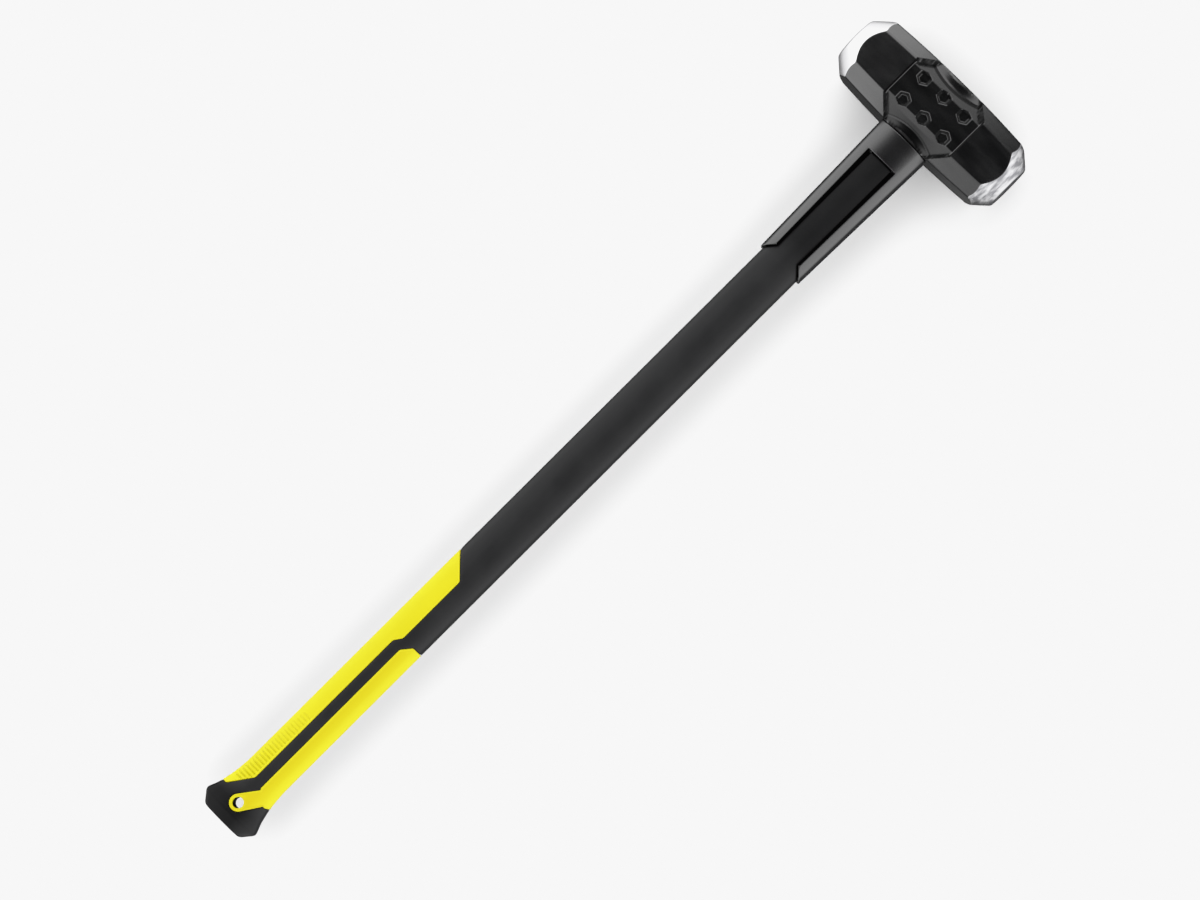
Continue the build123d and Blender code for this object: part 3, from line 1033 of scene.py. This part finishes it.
def cast(base, way):
    """Where rays meet the head: stepped inwards from outside it, then halved down."""

    def field(rays, reach):
        return head_field(*(base[rays] + way[rays] * reach[rays, None]).T)

    outermost, step, innermost = 60.0, 0.8, 5.0
    far = np.full(len(base), outermost)
    near = far - step
    live = np.arange(len(base))
    while len(live) and near.min() > innermost:
        live = live[field(live, near) >= 0]
        far[live] = near[live]
        near[live] -= step
    for _ in range(26):
        middle = (near + far) / 2
        outside = field(slice(None), middle) > 0
        far = np.where(outside, middle, far)
        near = np.where(outside, near, middle)
    return base + way * far[:, None]


def cut_eye(head):
    """Cuts the tapered eye, widened at its mouth, right through the head."""
    below, mouth = eye_x - head_half_width - 3, eye_x + head_half_width - 1.0
    rows = [(below, 0, 0), (below, *eye_size(below)), (mouth, *eye_size(mouth))]
    rows += [(mouth + 3.0, *eye_size(mouth + 3.0, 3.0)), (mouth + 3.0, 0, 0)]
    cutter = new_object("eye_cutter", welded("eye_cutter", *ring_body(rows, 128)))
    cut = head.modifiers.new("eye", "BOOLEAN")
    cut.operation = "DIFFERENCE"
    cut.solver = "EXACT"
    cut.object = cutter
    bpy.context.view_layer.update()
    baked = bpy.data.meshes.new_from_object(head.evaluated_get(bpy.context.evaluated_depsgraph_get()))
    head.modifiers.clear()
    head.data = baked
    bpy.data.objects.remove(cutter)


def build_head(material):
    """Casts rays out of the striking axis onto the head's field, then cuts the eye."""
    angles = ray_angles()
    start, lean = ray_rows()
    n, m = len(start), len(angles)
    t, turn = np.meshgrid(lean, angles, indexing="ij")
    way = np.stack([np.sin(t) * np.sin(turn), np.cos(t), np.sin(t) * np.cos(turn)], -1).reshape(-1, 3)
    start = np.repeat(start, m)
    verts = cast(np.column_stack([0 * start, start, 0 * start]), way)
    faces = tube_faces(n, m)
    for row, y in ((0, -head_half_length), (n - 1, head_half_length)):
        centre = len(verts)
        verts = np.vstack([verts, [[0, y, 0]]])
        faces += [(row * m + j, row * m + (j + 1) % m, centre) for j in range(m)]
    verts[:, 0] += eye_x
    head = add_piece("head_forging", verts, faces, "head", "head_paint", material, 38.0)
    cut_eye(head)
    set_values(head, "turned", bare_steel)
    set_values(head, "painted_shade", head_painted_shade)


# -------- build everything
jacket_black = plastic_material(
    "jacket_black", (0.007, 0.0071, 0.0076), (0.0105, 0.0106, 0.0112), (0.40, 0.54), 0.21, 1500.0, 0.35
)
pad_yellow = plastic_material(
    "pad_yellow", (0.60, 0.55, 0.004), (0.65, 0.60, 0.006), (0.50, 0.62), 0.16, 1300.0, 0.30
)
sleeve_grey = plastic_material(
    "sleeve_grey", (0.0045, 0.0045, 0.0048), (0.0075, 0.0075, 0.0080), (0.19, 0.27), 0.84, 1700.0, 0.25
)
rod_glass = plastic_material(
    "rod_glass_fibre", (0.50, 0.47, 0.30), (0.66, 0.63, 0.46), (0.35, 0.5), 0.5, 900.0, 0.3, (0.01, 6.0, 6.0)
)
resin_dark = plastic_material(
    "eye_resin_dark", (0.02, 0.02, 0.022), (0.035, 0.035, 0.037), (0.18, 0.30), 0.6, 500.0, 0.2
)
paint_pad_shade(pad_yellow)

build_head(head_material())
build_jacket(jacket_black)
groove_lines = np.array([-RIB_GROOVE, -0.7, -0.3, 0.0, 0.3, 0.7, RIB_GROOVE, 1.87])
rib_lines = (RIB_FIRST + RIB_PITCH * np.arange(RIB_COUNT)[:, None] + groove_lines).ravel()
upper_lines = np.concatenate([[-2.0], np.arange(3.0, 13.5, 1.5), rib_lines, np.arange(90.0, 305.0, 4.0)])
lower_lines = np.concatenate([np.arange(-14.0, 40.0, 1.5), np.arange(42.0, 215.0, 4.0)])
build_pad("grip_upper", UPPER_OUTLINE, "grip_pad_upper", pad_yellow, upper_lines, ribs=True)
build_pad("grip_lower", LOWER_OUTLINE, "grip_pad_lower", pad_yellow, lower_lines, hole=LANYARD_RADIUS)
build_sleeve(sleeve_grey)

rod_start, rod_end = rod_low[0], rod_high[0]
rod_a, rod_b = rod_high[1], rod_high[2]
bevel = 0.8
rod_rows = [(rod_start, 0, 0), (rod_start, rod_a - bevel, rod_b - bevel), (rod_start + bevel, rod_a, rod_b)]
rod_rows += [(x, rod_a, rod_b) for x in np.linspace(rod_start + 20, rod_end - 20, 30)]
rod_rows += [(rod_end - bevel, rod_a, rod_b), (rod_end, rod_a - bevel, rod_b - bevel), (rod_end, 0, 0)]
add_piece("fibre_rod", *ring_body(rod_rows), "core_rod", "fibreglass", rod_glass)

# The resin's socket for the rod, its tapered side, and a top that sinks a little towards the middle.
top, bottom = resin_high[0], resin_low[0]
socket = (rod_a + BOND_GAP, rod_b + BOND_GAP)
resin_rows = [(rod_end + BOND_GAP, 0, 0), (rod_end + BOND_GAP, *socket), (bottom, *socket)]
resin_rows += [(x, *eye_size(x, -BOND_GAP)) for x in np.linspace(bottom, top, 12)]
wide, deep = eye_size(top, -BOND_GAP)
dip = 0.5
for share in (0.8, 0.5, 0.2, 0.0):
    resin_rows.append((top - dip * (1 - share), wide * (0.86 + 0.14 * share), deep * (0.82 + 0.18 * share)))
resin_rows += [(top - dip, wide * 0.4, deep * 0.4), (top - dip, 0, 0)]
add_piece("resin_plug", *ring_body(resin_rows), "eye_resin", "resin", resin_dark)

# -------- stage, light and camera
floor_mesh = bpy.data.meshes.new("floor")
reach = 6.0
ground = -head_half_depth / 1000 - 0.0002
corners = [(-reach, -reach, ground), (reach, -reach, ground), (reach, reach, ground), (-reach, reach, ground)]
floor_mesh.from_pydata(corners, [], [(0, 1, 2, 3)])
floor = new_object("floor", floor_mesh)
floor_material, _, floor_shader, _ = new_material("floor_pale")
floor_shader.inputs["Base Color"].default_value = (0.94, 0.94, 0.94, 1.0)
floor_shader.inputs["Roughness"].default_value = 0.9
floor_shader.inputs["Specular IOR Level"].default_value = 0.0
floor_mesh.materials.append(floor_material)
floor.visible_glossy = False

world = bpy.data.worlds.new("studio")
bpy.context.scene.world = world
world.use_nodes = True
sky = world.node_tree
background = sky.nodes["Background"]
place = sky.nodes.new("ShaderNodeTexCoord").outputs["Generated"]
split = sky.nodes.new("ShaderNodeSeparateXYZ")
sky.links.new(place, split.inputs[0])
way_x, way_y, way_z = split.outputs

# A dark patch overhead, one bright wall all round and a dark ground; the wall has a gap on each side.
upward = between(sky, way_z, 0.0, 1.0, -1.0, 1.0)
low_stops = [(0.0, 0.05), (0.24, 0.03), (0.40, 0.85), (0.5, 1.0)]
high_stops = [(0.925, 1.0), (0.96, 0.08), (0.98, 0.01), (1.0, 0.0)]
elevation = value_ramp(sky, upward, low_stops + high_stops)
along_y = between(sky, way_y, 0.0, 1.0, -1.0, 1.0)
wall_stops = [(0.0, 1.0), (0.2, 1.0), (0.34, 1.0), (0.40, 0.0), (0.515, 0.0), (0.565, 1.0), (1.0, 1.0)]
wall_light = value_ramp(sky, along_y, wall_stops)
along_x = between(sky, way_x, 0.0, 1.0, -1.0, 1.0)
gap_light = value_ramp(sky, along_x, [(0.0, 0.42), (0.5, 0.30), (0.75, 0.06), (1.0, 0.06)])
panels = calc(sky, "MAXIMUM", wall_light, gap_light)
diagonal = calc(sky, "ABSOLUTE", calc(sky, "MULTIPLY", way_x, way_y), 0.0)
corner_light = between(sky, diagonal, 0.0, 0.6, 0.19, 0.28)
light = calc(sky, "MULTIPLY", calc(sky, "MAXIMUM", elevation, corner_light), panels)
# A faint glow from below, seen in the lower half of the head's side face.
glow_x = between(sky, way_x, 0.085, 0.0, -0.12, -0.06)
glow_y = between(sky, way_y, 1.0, 0.0, 0.035, 0.07)
glow = calc(sky, "MULTIPLY", glow_x, glow_y)
glow = calc(sky, "MULTIPLY", glow, between(sky, way_z, 1.0, 0.0, -0.9, -0.6))
light = calc(sky, "MAXIMUM", light, glow)
sky.links.new(light, background.inputs["Color"])
background.inputs["Strength"].default_value = 2.05

# Highlights top out just below white.
view = bpy.context.scene.view_settings
view.view_transform = "Standard"
view.use_curve_mapping = True
shoulder_curve = view.curve_mapping.curves[3]
view.curve_mapping.extend = "HORIZONTAL"
shoulder_curve.points[1].location = (1.0, 0.93)
shoulder_curve.points.new(0.85, 0.85)
view.curve_mapping.update()

camera_data = bpy.data.cameras.new("camera")
camera = new_object("camera", camera_data)
eye_point = Vector((0.25915, -0.27485, 3.74))
target = Vector((0.43985, -0.00385, 0.0))
back = (eye_point - target).normalized()
up = Vector((0.7066, 0.7076, 0.0))
up = (up - back * up.dot(back)).normalized()
right = up.cross(back)
camera.matrix_world = Matrix.Translation(eye_point) @ Matrix((right, up, back)).transposed().to_4x4()
camera_data.sensor_width = 36.0
camera_data.lens = 128.5
camera_data.clip_end = 50.0
bpy.context.scene.camera = camera
